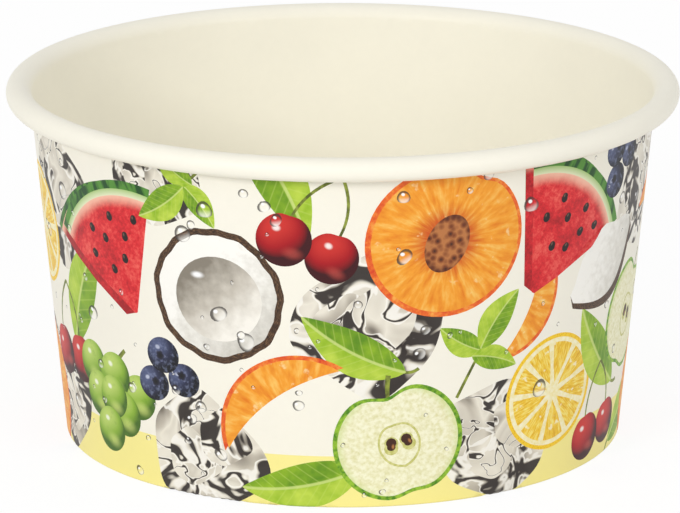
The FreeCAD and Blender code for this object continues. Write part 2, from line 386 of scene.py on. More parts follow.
def apple(rng):
    """Half an apple, with its core and two pips."""
    def body(angle):
        dimples = 0.20 * bump(angle, math.pi / 2, 0.34) + 0.09 * bump(angle, -math.pi / 2, 0.28)
        return 1 - dimples + 0.03 * math.sin(angle) - 0.05 * abs(math.sin(angle)) ** 3

    def heart_reach(angle):
        return 0.40 * (1 - 0.16 * bump(angle, math.pi / 2, 0.4)) * (1 - 0.18 * abs(math.cos(angle)))
    skin = polar(body, 72)
    heart = polar(heart_reach, 40)
    fields = [
        ("stem", ribbon((0.0, 0.60), (0.02, 0.9), (0.12, 1.12), 0.05, 0.08)),
        ("apple_skin", skin),
        ("apple_flesh", scaled(skin, 0.93)),
        ("apple_core", heart),
        ("apple_flesh", scaled(heart, 0.90)),
    ]
    for side in (-1, 1):
        at, turn = (0.13 * side, 0.0), -math.pi / 2 + 0.25 * side
        fields.append(("apple_core", seed_outline(0.15, at, turn, 0.0, 0.65)))
        fields.append(("brown_seed", seed_outline(0.105, at, turn, 0.25, 0.6), (*at, 0.11, turn)))
    return fields


def coconut(rng):
    """Half a coconut, looked into."""
    shell = polar(lambda a: 1 + 0.012 * math.sin(7 * a) + 0.01 * math.sin(17 * a + 1), 72)
    bowl = (0.03, -0.05, 0.66, 0.0)
    return [
        ("coconut_shell", shell),
        ("coconut_flesh", scaled(shell, 0.90)),
        ("coconut_bowl", ellipse(0.66, 0.63, bowl[:2]), bowl),
    ]


def coconut_piece(rng):
    """A broken piece of coconut: shell along its lower edge, under white flesh."""
    top = [(0.95 * x, 0.10 + 0.50 * math.cos(1.5 * x) + 0.04 * math.sin(9 * x)) for x in spread(1, -1, 14)]
    shell = [(0.98 * x, -0.04 - 0.66 * math.cos(1.45 * x)) for x in spread(-1, 1, 18)]
    flesh = [(0.94 * x, 0.03 - 0.58 * math.cos(1.45 * x)) for x in spread(-1, 1, 18)]
    return [("coconut_shell", shell + top), ("coconut_flesh", flesh + top)]


LEMON_SEGMENTS = 9


def lemon(rng):
    """A round slice with its segments."""
    fields = [
        ("lemon_rind", ellipse(1.0, 1.0, count=60)),
        ("lemon_pith", ellipse(0.93, 0.93, count=56)),
    ]
    start = rng.uniform(0, 1)
    half = math.pi / LEMON_SEGMENTS - 0.045
    side = 0.45 * math.tan(half * 0.9)
    segment = [(0.15, 0.0), (0.45, -side), *arc_points(0.85, -half * 0.92, half * 0.92, 9), (0.45, side)]
    for index in range(LEMON_SEGMENTS):
        turn = start + math.tau * index / LEMON_SEGMENTS
        fields.append(("lemon_juice", turned_about(segment, turn), (0.0, 0.0, 1.0, turn)))
    return fields


ICE_SIDES = 6
ICE_CORNERS = 9


def ice(rng):
    """A lump with uneven sides and rounded corners, and two faces that show through it."""
    sides = []
    for index in range(ICE_SIDES):
        way = math.tau * (index + rng.uniform(-0.2, 0.2)) / ICE_SIDES
        sides.append((way, rng.uniform(0.74, 0.94)))

    def reach(angle):
        pull = sum(max(0.0, math.cos(angle - way) / away) ** ICE_CORNERS for way, away in sides)
        return pull ** (-1 / ICE_CORNERS)
    lump = polar(reach, 72)
    fields = [("ice", lump)]
    for side in (-1, 1):
        shift = (side * rng.uniform(0.1, 0.3), rng.uniform(-0.3, 0.3))
        fields.append(("ice", scaled(lump, rng.uniform(0.36, 0.5), shift)))
    return fields


def leaf(rng):
    stem = ribbon((-1.16, -0.16), (-1.1, -0.02), (-0.94, 0.02), 0.06, 0.05)
    return [("stem", stem), ("leaf", leaf_outline())]


def sprig(rng):
    """Three leaves on one stem."""
    fields = [("stem", ribbon((-0.95, -0.45), (-0.4, -0.2), (0.1, 0.0), 0.06, 0.05))]
    for x, y, turn, size in ((-0.22, 0.34, 1.9, 0.50), (-0.02, -0.44, -1.0, 0.48), (0.52, 0.10, 0.25, 0.62)):
        outline = turned_about(leaf_outline(0.48), turn, (x, y), size)
        fields.append(("leaf", outline, (x, y, size, turn)))
    return fields


def drop(rng):
    """A clear drop, a little uneven."""
    long, uneven, turn = rng.uniform(0.0, 0.16), rng.uniform(0.0, 0.08), rng.uniform(0, 6)
    edge = polar(lambda a: 0.92 + long * math.cos(2 * a + turn) + uneven * math.cos(3 * a), 16)
    return [(CLEAR, edge)]


# One repeat of the print, half the way round: motif, degrees from its middle, height, size, turn.
LAYOUT = (
    (ice, -66, 37, 10.6, 0), (ice, -73, 9, 9.6, 0), (ice, -28, 6, 9.8, 0), (ice, 5, 26, 11.4, 0),
    (ice, 33, 8, 10.2, 0), (ice, 75, 38, 10.4, 0), (ice, -36, 45, 8.0, 0), (ice, 92, 12, 9.0, 0),
    (leaf, -12, 45, 9.0, -62), (peach_slice, 36, 27, 8.6, -20), (leaf, 2, 23, 8.0, 150),
    (lemon, -80, 31, 8.4, 0), (peach, -88, 7, 9.8, 30), (leaf, -58, 25, 9.6, 62),
    (cherries, -68, 18, 7.4, 8), (grapes, -52, 10, 8.2, -14), (melon, -47, 32, 11.8, 24),
    (sprig, -30, 43, 7.4, -160), (coconut, -24, 29, 9.4, 0), (blueberries, -36, 17, 5.6, 10),
    (peach_slice, -12, 14, 10.4, 128), (cherries, -5, 40, 7.8, -16), (leaf, -8, 4, 8.4, -168),
    (apple, 11, 9, 8.8, 16), (peach, 19, 37, 10.8, -28), (sprig, 27, 22, 7.6, 40),
    (melon, 44, 35, 12.0, -32), (lemon, 45, 13, 8.2, 0), (leaf, 60, 17, 8.6, 130),
    (blueberries, 61, 43, 5.4, 40), (coconut_piece, 59, 29, 8.8, 28), (cherries, 61, 8, 7.0, 12),
    (apple, 74, 19, 8.4, -24), (leaf, 82, 5, 9.0, 24), (peach_slice, 88, 31, 9.6, 70),
)
REPEATS = (-360, -180, 0, 180)
WIDEST_MOTIF_DEGREES = 20

# The scattered drops: how many a repeat has, what their draws start from, and how their heights,
# sizes and turns vary.
DROPS_A_REPEAT = 110
DROP_SEED = 7
DROP_HEIGHTS = (1, 46)
SMALLEST_DROP = 0.3
DROP_GROWTH = 1.1
DROP_TURN = 40

Field = namedtuple("Field", "look outline motif own seed")


def print_fields(path):
    """Every printed field, in the order in which they are laid over each other."""
    rng = random.Random(DROP_SEED)
    scattered = []
    for _ in range(DROPS_A_REPEAT):
        away, height = rng.uniform(-90, 90), rng.uniform(*DROP_HEIGHTS)
        size = SMALLEST_DROP + DROP_GROWTH * rng.random() ** 3
        scattered.append((drop, away, height, size, rng.uniform(-DROP_TURN, DROP_TURN)))

    fields = []
    middle = FRONT_AZIMUTH - SEAM_AZIMUTH
    for repeat in REPEATS:
        for index, (make, away, height, size, turn) in enumerate((*LAYOUT, *scattered)):
            turned = middle + away + repeat
            if not -WIDEST_MOTIF_DEGREES < turned < 360 + LAP_DEGREES + WIDEST_MOTIF_DEGREES:
                continue
            draw = random.Random(index)
            up = path.wall_start + (height - path.wall_base) / COSINE
            motif = (turned, up, size, math.radians(turn))
            for look, outline, *own in make(draw):
                fields.append(Field(look, outline, motif, *(own or [WHOLE]), draw.random()))
    return fields


# The sheet's mesh. The flat domain is degrees from the seam, and the distance up the section's path.

MIDDLE_RADIUS = FOOT_RADIUS + HEIGHT / 2 * TANGENT
DEGREE_WIDTH = math.radians(1) * MIDDLE_RADIUS
SHEET_END = 360 + LAP_DEGREES
COLUMN_DEGREES = 2.0
LAP_COLUMNS = 3
RAMP_COLUMNS = 6

# An outline's points nearer than this, and fields smaller, are left out. The last two are settings of
# the triangulation.
NEAREST_POINTS = 0.004
SMALLEST_FIELD = 0.01
MERGE_DISTANCE = 1e-4
CONVEX_HULL = 0

# At the foot of the lap the seam's outer layer stands on the ground, and its inner one just above.
OUTER_LAYER_FOOT = 0.0
INNER_LAYER_FOOT = 0.02

# The sheet's UV maps: the bake's, a corner's place in its field, the field's seed, and the corner's
# place in a drop. Each has the place that stands for none. Places in a drop are within its limit.
NOWHERE = (0.0, 0.0)
SHEET_MAPS = {"OFBake": NOWHERE, "motif": NOWHERE, "seed": NOWHERE, "drop": (9.0, 9.0)}
DROP_LIMIT = 2.0


def lift_at(turned):
    """How far the seam's outer layer stands off the wall, and how fast that changes by the radian."""
    step = max(0.0, turned - LAP_DEGREES) / RAMP_DEGREES
    if step >= 1:
        return 0.0, 0.0
    rate = -WALL_BOARD * math.pi / 2 * math.sin(math.pi * step) / math.radians(RAMP_DEGREES)
    return WALL_BOARD * (1 + math.cos(math.pi * step)) / 2, rate


def on_domain(motif, point, path):
    """A motif's own point on the flat domain."""
    turned, up, size, turn = motif
    (x, y), = turned_about([point], turn, (0.0, up), size)
    radius = path.at(max(0.0, min(y, path.length)))[0][0]
    return turned + math.degrees(x / radius), y


def in_field(field, turned, up, radius):
    """A field's own coordinates for a point of the flat domain."""
    centre, middle, size, turn = field.motif
    x, y, reach, own_turn = field.own
    place = (math.radians(turned - centre) * radius, up - middle)
    place, = turned_about([place], -turn, (0.0, 0.0), 1 / size)
    place, = turned_about([(place[0] - x, place[1] - y)], -own_turn, (0.0, 0.0), 1 / reach)
    return place


def area(points):
    return sum(a[0] * b[1] - b[0] * a[1] for a, b in zip(points, points[1:] + points[:1])) / 2


def started_inside(outline, low, high):
    """The same outline, started at an edge between two heights, because a flattened one has no inside."""
    for index, (_, up) in enumerate(outline):
        if low < up < high and low < outline[index - 1][1] < high:
            break
    return outline[index - 1:] + outline[:index - 1]


def flat_columns():
    """Degrees from the seam at which the sheet has a column of vertices."""
    ramp_end = LAP_DEGREES + RAMP_DEGREES
    columns = spread(0.0, LAP_DEGREES, LAP_COLUMNS + 1)
    columns += spread(LAP_DEGREES + JOIN_DEGREES, ramp_end, RAMP_COLUMNS + 1)
    columns += spread(ramp_end, SHEET_END, round((SHEET_END - ramp_end) / COLUMN_DEGREES) + 1)[1:]
    return columns


def cut_domain(path):
    """Lay the print's outlines on the sheet's lattice: points, and triangles with their fields."""
    columns, rows = flat_columns(), len(path.rows)
    points = [(turned * DEGREE_WIDTH, row) for turned in columns for row in path.rows]
    last = (len(columns) - 1) * rows
    rim = [*range(0, last, rows), *range(last, last + rows)]
    rim += [*range(last - 1, 0, -rows), *range(rows - 2, 0, -1)]

    # An outline round the strip between the lap's last column and the next one, where the crack is,
    # keeps every triangle on one side of it.
    before, after = LAP_COLUMNS * rows, (LAP_COLUMNS + 1) * rows
    crack = [*range(after + 1, after + rows), *range(after - 1, before - 1, -1), after]
    outlines = [rim, crack]
    rim_number, first_field = 0, len(outlines)

    low = path.wall_start - 2 * FOLD_RADIUS
    high = path.wall_start + (PRINT_TOP - path.wall_base) / COSINE
    fields = []
    for field in print_fields(path):
        flat = [on_domain(field.motif, point, path) for point in field.outline]
        if not any(0 < turned < SHEET_END for turned, up in flat):
            continue
        flat = [(turned * DEGREE_WIDTH, max(low, min(high, up))) for turned, up in flat]
        flat = [a for a, b in zip(flat, flat[1:] + flat[:1]) if math.dist(a, b) > NEAREST_POINTS]
        if len(flat) < 3 or abs(area(flat)) < SMALLEST_FIELD:
            continue
        if area(flat) < 0:
            flat.reverse()
        flat = started_inside(flat, low, high)
        outlines.append(list(range(len(points), len(points) + len(flat))))
        points += flat
        fields.append(field)

    vectors = [Vector(point) for point in points]
    cut, _, triangles, _, _, owners = delaunay_2d_cdt(
        vectors, [], outlines, CONVEX_HULL, MERGE_DISTANCE, True,
    )
    kept = []
    for face, numbers in zip(triangles, owners):
        if rim_number in numbers:
            above = [fields[number - first_field] for number in sorted(numbers) if number >= first_field]
            kept.append((face, above))
    return [(point.x / DEGREE_WIDTH, point.y) for point in cut], kept


def put_in_scene(name, data):
    """A new object for a mesh, a lamp or the camera."""
    made = bpy.data.objects.new(name, data)
    bpy.context.collection.objects.link(made)
    return made


class MeshMaker:
    """The faces of a mesh, and what each of their corners holds.

    For each UV map's name, nowhere is the place of a corner that is given none.
    """

    def __init__(self, vertices, nowhere):
        self.vertices = vertices
        self.faces, self.slots, self.normals = [], [], []
        self.nowhere = nowhere
        self.maps = {name: [] for name in nowhere}

    def add(self, face, slot, normals, **places):
        self.faces.append(face)
        self.slots.append(slot)
        self.normals += normals
        for name, place in self.nowhere.items():
            self.maps[name] += places.get(name, [place] * len(face))

    def make(self, name, looks):
        mesh = bpy.data.meshes.new(name)
        mesh.from_pydata(self.vertices, [], self.faces)
        for look in looks:
            mesh.materials.append(look)
        mesh.polygons.foreach_set("material_index", self.slots)
        mesh.polygons.foreach_set("use_smooth", [True] * len(self.faces))
        for map_name, places in self.maps.items():
            layer = mesh.uv_layers.new(name=map_name)
            layer.data.foreach_set("uv", [number for place in places for number in place])
        mesh.normals_split_custom_set(self.normals)
        mesh.update()
        return put_in_scene(name, mesh)


def make_sheet(looks):
    """The side wall's sheet, cut along the print's outlines and given its thickness."""
    path = sheet_path()
    cut, kept = cut_domain(path)
    used = sorted({index for face, _ in kept for index in face})
    new_number = {index: place for place, index in enumerate(used)}
    printed, plain, outward, inward, flat = [], [], [], [], []
    for index in used:
        turned, up = cut[index]
        (radius, height), heading = path.at(up)
        side, rise = math.sin(heading), -math.cos(heading)
        lift, rate = lift_at(turned)
        on_lap = turned <= LAP_DEGREES + JOIN_DEGREES / 2
        depth = WALL_BOARD - LAYER_GAP - lift if on_lap else WALL_BOARD
        foot = INNER_LAYER_FOOT if turned > 360 else OUTER_LAYER_FOOT
        azimuth = math.radians(SEAM_AZIMUTH + turned)
        cos, sin = math.cos(azimuth), math.sin(azimuth)
        for board_side, off, lowest in ((printed, lift, foot), (plain, -depth, foot + LAYER_GAP)):
            out = radius + off * side
            board_side.append((out * cos * MM, out * sin * MM, max(lowest, height + off * rise) * MM))
        tilt = -rate / radius
        outward.append(Vector((side * cos - tilt * sin, side * sin + tilt * cos, rise)).normalized())
        inward.append(Vector((-side * cos, -side * sin, -rise)))
        flat.append((turned, up, radius))

    sheet = MeshMaker(printed + plain, SHEET_MAPS)
    slot_of = {name: slot for slot, name in enumerate(looks)}
    shift = len(printed)
    open_edges = set()
    for face, fields in kept:
        face = [new_number[index] for index in face]
        corners = [flat[index] for index in face]
        look, maps = "print_ground", {"OFBake": bake_outer(corners, path)}
        for field in fields:
            places = [in_field(field, *corner) for corner in corners]
            if field.look == CLEAR:
                maps["drop"] = places
            else:
                look = field.look
                maps["motif"] = places
                maps["seed"] = [(field.seed, 0.0)] * len(face)
        sheet.add(face, slot_of[look], [outward[index] for index in face], **maps)
        face_back = [index + shift for index in reversed(face)]
        normals = [inward[index] for index in reversed(face)]
        sheet.add(face_back, slot_of["board_inside"], normals, OFBake=bake_inner(corners[::-1], path))
        for a, b in zip(face, face[1:] + face[:1]):
            if (b, a) in open_edges:
                open_edges.remove((b, a))
            else:
                open_edges.add((a, b))
    for a, b in sorted(open_edges):
        corners = [Vector(place) for place in (printed[b], printed[a], plain[a], plain[b])]
        normal = (corners[2] - corners[0]).cross(corners[3] - corners[1]).normalized()
        face = [b, a, a + shift, b + shift]
        sheet.add(face, slot_of["board_edge"], [normal] * 4, OFBake=EDGE_SQUARE)
    return sheet.make("printed_sheet", looks.values())


# The bake's map: strips of the printed face side by side, one squeezed strip for the inside, and a
# small square for every cut edge.
STRIPS = 4
STRIP_ROWS = 2
INSIDE_SHARE = 0.09
BAKE_MARGIN = 0.014
HEM_SHARE = 0.07
ROLL_SHARE = 0.07
NEAR, FAR = 0.002, 0.006
EDGE_SQUARE = [(NEAR, NEAR), (FAR, NEAR), (FAR, FAR), (NEAR, FAR)]


def squeezed(up, path):
    """Place up the map, 0 to 1: the wall takes most of it, the hem and the roll little."""
    stops = (
        (0.0, 0.0), (path.wall_start, HEM_SHARE), (path.wall_end, 1 - ROLL_SHARE), (path.length, 1.0),
    )
    for (low, first), (high, second) in zip(stops, stops[1:]):
        if up <= high:
            break
    return first + (second - first) * (up - low) / (high - low)


def bake_outer(corners, path):
    """The places of a printed face's corners on the bake's map."""
    middle = sum(turned for turned, _, _ in corners) / len(corners)
    strip = min(STRIPS - 1, max(0, int(middle / SHEET_END * STRIPS)))
    row, column = divmod(strip, STRIPS // STRIP_ROWS)
    wide, tall = STRIP_ROWS / STRIPS, (1 - INSIDE_SHARE) / STRIP_ROWS
    places = []
    for turned, up, _ in corners:
        along = turned / SHEET_END * STRIPS - strip
        x = wide * column + BAKE_MARGIN + along * (wide - 2 * BAKE_MARGIN)
        y = INSIDE_SHARE + tall * row + BAKE_MARGIN / 2 + squeezed(up, path) * (tall - BAKE_MARGIN)
        places.append((x, y))
    return places


def bake_inner(corners, path):
    """The places of an inside face's corners on the bake's map."""
    places = []
    for turned, up, _ in corners:
        x = BAKE_MARGIN + turned / SHEET_END * (1 - 2 * BAKE_MARGIN)
        y = BAKE_MARGIN + up / path.length * (INSIDE_SHARE - 1.5 * BAKE_MARGIN)
        places.append((x, y))
    return places


# The base's mesh

BASE_COLUMNS = 180
BOARD_SLOT, CUT_SLOT = 0, 1


def base_bands():
    """The base's section as a loop: (near, far, slot) from the axis out and back, ends with normals."""
    path = base_path()
    upper, lower = [], []
    for row in path.rows:
        (radius, height), heading = path.at(row)
        side, rise = -math.sin(heading), math.cos(heading)
        upper.append(((radius, height), (side, rise)))
        below = (max(0.0, radius - BASE_BOARD * side), height - BASE_BOARD * rise)
        lower.append((below, (-side, -rise)))
    lower.reverse()
    down = (math.cos(path.heading), math.sin(path.heading))
    bands = [(near, far, BOARD_SLOT) for near, far in zip(upper, upper[1:])]
    bands.append(((upper[-1][0], down), (lower[0][0], down), CUT_SLOT))
    bands += [(near, far, BOARD_SLOT) for near, far in zip(lower, lower[1:])]
    return bands


def make_base(look, cut_look):
    """The base's board, turned about the axis."""
    base = MeshMaker([], {})
    numbers = {}
    for near, far, slot in base_bands():
        for column in range(BASE_COLUMNS):
            after = (column + 1) % BASE_COLUMNS
            face, normals = [], []
            for (place, (side, rise)), at in ((near, column), (far, column), (far, after), (near, after)):
                radius, height = place
                azimuth = math.tau * at / BASE_COLUMNS
                cos, sin = math.cos(azimuth), math.sin(azimuth)
                key = (place, at if radius > 0 else 0)
                if key not in numbers:
                    numbers[key] = len(base.vertices)
                    base.vertices.append((radius * cos * MM, radius * sin * MM, height * MM))
                if numbers[key] not in face:
                    face.append(numbers[key])
                    normals.append((side * cos, side * sin, rise))
            base.add(face, slot, normals)
    return base.make("base_board", (look, cut_look))


# Materials

def arithmetic(operation):
    """A value's operator, which adds a node for one operation."""
    return lambda value, *others: value.look.math(operation, value, *others)


class Value:
    """A number that a material's nodes work out. Arithmetic on it adds the nodes."""

    def __init__(self, look, socket):
        self.look = look
        self.socket = socket

    def __rsub__(self, other):
        return self.look.math("SUBTRACT", other, self)

    __add__ = __radd__ = arithmetic("ADD")
    __sub__ = arithmetic("SUBTRACT")
    __mul__ = __rmul__ = arithmetic("MULTIPLY")
    __truediv__ = arithmetic("DIVIDE")
    __pow__ = arithmetic("POWER")
    __abs__ = arithmetic("ABSOLUTE")


class Nodes:
    """The nodes of a material or of the world."""

    def __init__(self, owner):
        owner.use_nodes = True
        self.nodes = owner.node_tree.nodes
        self.links = owner.node_tree.links

    def put(self, socket, value):
        """Link a value to a socket, or set a plain number or colour on it."""
        if isinstance(value, Value):
            value = value.socket
        if isinstance(value, bpy.types.NodeSocket):
            self.links.new(value, socket)
        else:
            socket.default_value = value

    def fill(self, node, **values):
        """Put values in a node's sockets by name."""
        for name, value in values.items():
            self.put(node.inputs[name], value)

    def node(self, kind, *values, **settings):
        """A new node with values in its first sockets."""
        made = self.nodes.new("ShaderNode" + kind)
        for name, value in settings.items():
            setattr(made, name, value)
        for socket, value in zip(made.inputs, values):
            self.put(socket, value)
        return made

    def math(self, operation, *values):
        return Value(self, self.node("Math", *values, operation=operation).outputs[0])

    def seen_as(self, share, seen, shader, output):
        """Give what the camera sees, itself or in a reflection, a share of another shader."""
        paths = self.node("LightPath").outputs
        mirrored = self.math("MAXIMUM", paths["Is Glossy Ray"], paths["Is Transmission Ray"])
        glow = share * self.math("MAXIMUM", paths["Is Camera Ray"], mirrored)
        mixed = self.node("MixShader", glow, shader.outputs[0], seen.outputs[0])
        self.put(self.nodes[output].inputs["Surface"], mixed.outputs[0])


# A mix node's sockets for the factor, the two colours and their mixture.
MIX_INPUTS = (0, 6, 7)
MIX_OUTPUT = 2

# How fine the coating's mottle is, in patches to the metre.
BROAD_MOTTLE = 110.0
FINE_MOTTLE = 900.0


class Look(Nodes):
    """A material whose colour, roughness and relief come from its nodes."""

    def __init__(self, name, roughness=0.45, specular=0.35):
        self.material = bpy.data.materials.new(name)
        super().__init__(self.material)
        self.shader = self.nodes["Principled BSDF"]
        self.shader.inputs["Roughness"].default_value = roughness
        self.shader.inputs["Specular IOR Level"].default_value = specular

    def place(self, x, y, z=0.0):
        return self.node("CombineXYZ", x, y, z).outputs[0]

    def parts(self, vector):
        """The x, y and z of a vector."""
        return [Value(self, socket) for socket in self.node("SeparateXYZ", vector).outputs]

    def on_object(self):
        """The place on the object, in metres."""
        return self.node("TexCoord").outputs["Object"]

    def length(self, x, y):
        made = self.node("VectorMath", self.place(x, y), operation="LENGTH")
        return Value(self, made.outputs["Value"])

    def grain(self, vector, scale, detail=3.0, rough=0.5, twist=0.0):
        """Smooth noise, about 0.5 on average."""
        made = self.node("TexNoise")
        self.fill(made, Vector=vector, Scale=scale, Detail=detail, Roughness=rough, Distortion=twist)
        return Value(self, made.outputs["Fac"])

    def step(self, value, low, high):
        """0 at low, 1 at high, and smooth between."""
        made = self.node("MapRange", value, low, high, 0.0, 1.0, interpolation_type="SMOOTHSTEP")
        return Value(self, made.outputs[0])

    def mix(self, factor, first, second):
        """The first colour where the factor is 0, the second where it is 1."""
        made = self.node("Mix", data_type="RGBA")
        for number, value in zip(MIX_INPUTS, (factor, first, second)):
            self.put(made.inputs[number], value)
        return made.outputs[MIX_OUTPUT]

    def blend(self, value, *stops):
        """A colour that follows a value through stops: (place, red, green, blue), colours to 255."""
        made = self.node("ValToRGB", value)
        band = made.color_ramp.elements
        while len(band) < len(stops):
            band.new(1.0)
        for element, (place, *colour) in zip(band, stops):
            element.position = place
            element.color = srgb(*colour)
        return made.outputs[0]

    def coat(self, ink):
        """A satin coating over board: faint mottle in the colour, the gloss and the relief."""
        where = self.on_object()
        broad = self.grain(where, BROAD_MOTTLE, 2.0)
        fine = self.grain(where, FINE_MOTTLE, 3.0, 0.6)
        tone = 1.0 + 0.045 * (broad - 0.5) + 0.03 * (fine - 0.5)
        toned = self.node("VectorMath", ink, self.place(tone, tone, tone), operation="MULTIPLY")
        self.put(self.shader.inputs["Base Color"], toned.outputs[0])
        self.fill(self.shader, Roughness=0.40 + 0.12 * fine)
        return self.relief(0.6 * broad + 0.4 * fine, 0.12, 0.06)

    def relief(self, height, strength, depth):
        """Bumps up to a depth in millimetres. It comes last, and gives the material."""
        made = self.node("Bump")
        self.fill(made, Strength=strength, Distance=depth * MM, Height=height)
        self.fill(self.shader, Normal=made.outputs["Normal"])
        return self.material


class Printed(Look):
    """A printed field's ink, drawn in the field's own coordinates."""

    def __init__(self, name):
        super().__init__(name)
        self.x, self.y, _ = self.on_map("motif")
        self.reach = self.length(self.x, self.y)
        self.seed = self.on_map("seed")[0]

    def on_map(self, name):
        return self.parts(self.node("UVMap", uv_map=name).outputs[0])

    def mottle(self, scale, detail=3.0, rough=0.5, twist=0.0, shift=0.0):
        """Noise of its own for each field."""
        return self.grain(self.place(self.x, self.y, self.seed + shift), scale, detail, rough, twist)

    def rays(self, scale, drift, detail=3.0, rough=0.55):
        """Noise in streaks that run out from the middle."""
        across, up = self.x / self.reach, self.y / self.reach
        return self.grain(self.place(across, up, drift * self.reach + self.seed), scale, detail, rough)

    def cells(self, scale):
        """Distance to the nearest of many scattered points."""
        made = self.node("TexVoronoi")
        self.fill(made, Vector=self.place(self.x, self.y, self.seed), Scale=scale)
        return Value(self, made.outputs["Distance"])

    def spot(self, cx, cy, wide, tall, soft=0.5, own=None):
        """1 inside an ellipse, fading to 0 at its edge, in the field's coordinates or given ones."""
        x, y = own or (self.x, self.y)
        return 1.0 - self.step(self.length((x - cx) / wide, (y - cy) / tall), 1 - soft, 1.0)

    def coat(self, ink, *layers):
        """The ink, its layers (share, red, green, blue) and the clear drops, under the satin coating."""
        x, y, _ = self.on_map("drop")
        reach = self.length(x, y)
        inside = self.math("LESS_THAN", reach, DROP_LIMIT)
        lit = self.step(0.45 * x - 0.65 * y, -0.1, 0.6)
        edge = self.step(reach + 0.16 * (y - x), 0.54, 0.88)
        glint = self.spot(-0.26, 0.3, 0.34, 0.28, 0.5, (x, y))
        drops = (
            (0.6 * inside * lit, 255, 253, 247), (0.86 * inside * edge, 54, 47, 43), (glint, 255, 255, 255),
        )
        for share, *colour in (*layers, *drops):
            ink = self.mix(share, ink, srgb(*colour))
        return super().coat(ink)

    def ball(self, dark, middle, light, glint=(255, 250, 245)):
        """The colour of a ball lit from the upper left."""
        value = 0.58 - 0.42 * self.x + 0.55 * self.y - 0.62 * self.reach ** 3.0
        body = self.blend(value, (0.0, *dark), (0.45, *middle), (1.0, *light))
        return self.mix(0.85 * self.spot(-0.32, 0.38, 0.2, 0.16, 0.7), body, srgb(*glint))


def ground_look():
    """White printing ground, with the plain yellow band at the foot."""
    look = Printed("print_ground")
    band = look.math("LESS_THAN", look.parts(look.on_object())[2], BAND_HEIGHT * MM)
    return look.coat(look.mix(band, PRINT_WHITE, PRINT_YELLOW))


def board_look(name):
    """Unprinted board under its satin coating."""
    return Look(name).coat(BOARD_WHITE[:3])


def edge_look():
    """The cut edge of the board: bare white fibre."""
    look = Look("board_edge", 0.8, 0.2)
    fibre = look.grain(look.on_object(), 2600.0, 4.0, 0.7)
    colour = look.blend(fibre, (0.3, 205, 198, 182), (0.7, 244, 240, 230))
    look.put(look.shader.inputs["Base Color"], colour)
    return look.relief(fibre, 0.4, 0.05)


def mottled_look(name, mottle, *stops):
    """An ink that is nothing but its mottle."""
    look = Printed(name)
    return look.coat(look.blend(look.mottle(*mottle), *stops))


def peach_looks():
    yield mottled_look(
        "peach_skin", (9.0, 4.0, 0.65), (0.30, 214, 62, 30), (0.52, 238, 112, 40), (0.72, 250, 176, 76),
    )
    for name, near, far in (("peach_flesh", 0.30, 0.62), ("peach_cut", 0.42, 0.74)):
        look = Printed(name)
        streak = look.rays(9.0, 0.35)
        juice = look.mottle(6.0, 3.0, 0.6)
        heart = 1.0 - look.step(look.reach + 0.16 * streak, near, far)
        body = look.blend(
            0.75 * streak + 0.25 * juice, (0.30, 230, 126, 20), (0.50, 245, 162, 46), (0.70, 253, 206, 108),
        )
        wet = look.step(juice, 0.62, 0.72)
        yield look.coat(body, (0.8 * heart, 196, 60, 22), (0.55 * wet, 255, 232, 178))
    look = Printed("peach_stone")
    body = look.blend(look.cells(4.5), (0.05, 60, 28, 14), (0.35, 128, 66, 32), (0.7, 186, 118, 66))
    rim = look.step(look.reach, 0.7, 1.0)
    yield look.coat(body, (0.7 * rim, 70, 26, 14))


def melon_looks():
    look = Printed("melon_skin")
    stripe = look.grain(look.place(3.0 * look.x, 0.6 * look.y, look.seed), 5.0, 2.0)
    yield look.coat(look.blend(stripe, (0.42, 24, 74, 26), (0.55, 84, 142, 52)))
    look = Printed("melon_rind")
    yield look.coat(look.blend(look.reach, (0.88, 238, 240, 206), (0.95, 150, 192, 96)))
    for name, shade, ripe in (("melon_flesh", 0.0, 0.88), ("melon_side", 0.12, 0.93)):
        look = Printed(name)
        soft = look.mottle(5.0)
        tone = 0.5 * soft + 0.5 * look.mottle(34.0, 3.0, 0.7, shift=3.0) - shade
        body = look.blend(tone, (0.30, 160, 10, 22), (0.50, 222, 36, 44), (0.68, 244, 104, 92))
        pale = look.step(look.reach + 0.06 * soft, ripe - 0.06, ripe + 0.05)
        yield look.coat(body, (pale, 250, 196, 170))


def seed_looks():
    for name, dark, light in (
        ("dark_seed", (22, 12, 10), (112, 86, 72)), ("brown_seed", (62, 30, 14), (176, 118, 66)),
    ):
        look = Printed(name)
        yield look.coat(srgb(*dark), (look.spot(0.1, 0.25, 0.5, 0.28, 0.8), *light))


def berry_looks():
    look = Printed("cherry")
    body = look.ball((58, 0, 8), (168, 10, 22), (222, 58, 48))
    yield look.coat(body, (0.35 * look.spot(0.38, -0.45, 0.5, 0.3, 0.9), 236, 96, 84))
    look = Printed("blueberry")
    body = look.ball((12, 12, 22), (40, 44, 70), (92, 102, 140), (206, 212, 232))
    bloom = look.step(look.mottle(3.4, 4.0, 0.6), 0.48, 0.68)
    yield look.coat(body, (0.5 * bloom, 128, 138, 170))
    look = Printed("berry_crown")
    yield look.coat(look.blend(look.reach, (0.2, 8, 8, 14), (0.62, 34, 34, 52), (0.95, 104, 110, 142)))
    look = Printed("grape")
    body = look.ball((66, 104, 22), (138, 178, 52), (206, 226, 122), (252, 255, 236))
    gleam = look.spot(0.25, -0.42, 0.62, 0.42, 0.9)
    vein = look.step(look.mottle(3.0), 0.55, 0.75)
    yield look.coat(body, (0.6 * gleam, 214, 230, 128), (0.3 * vein, 96, 140, 36))


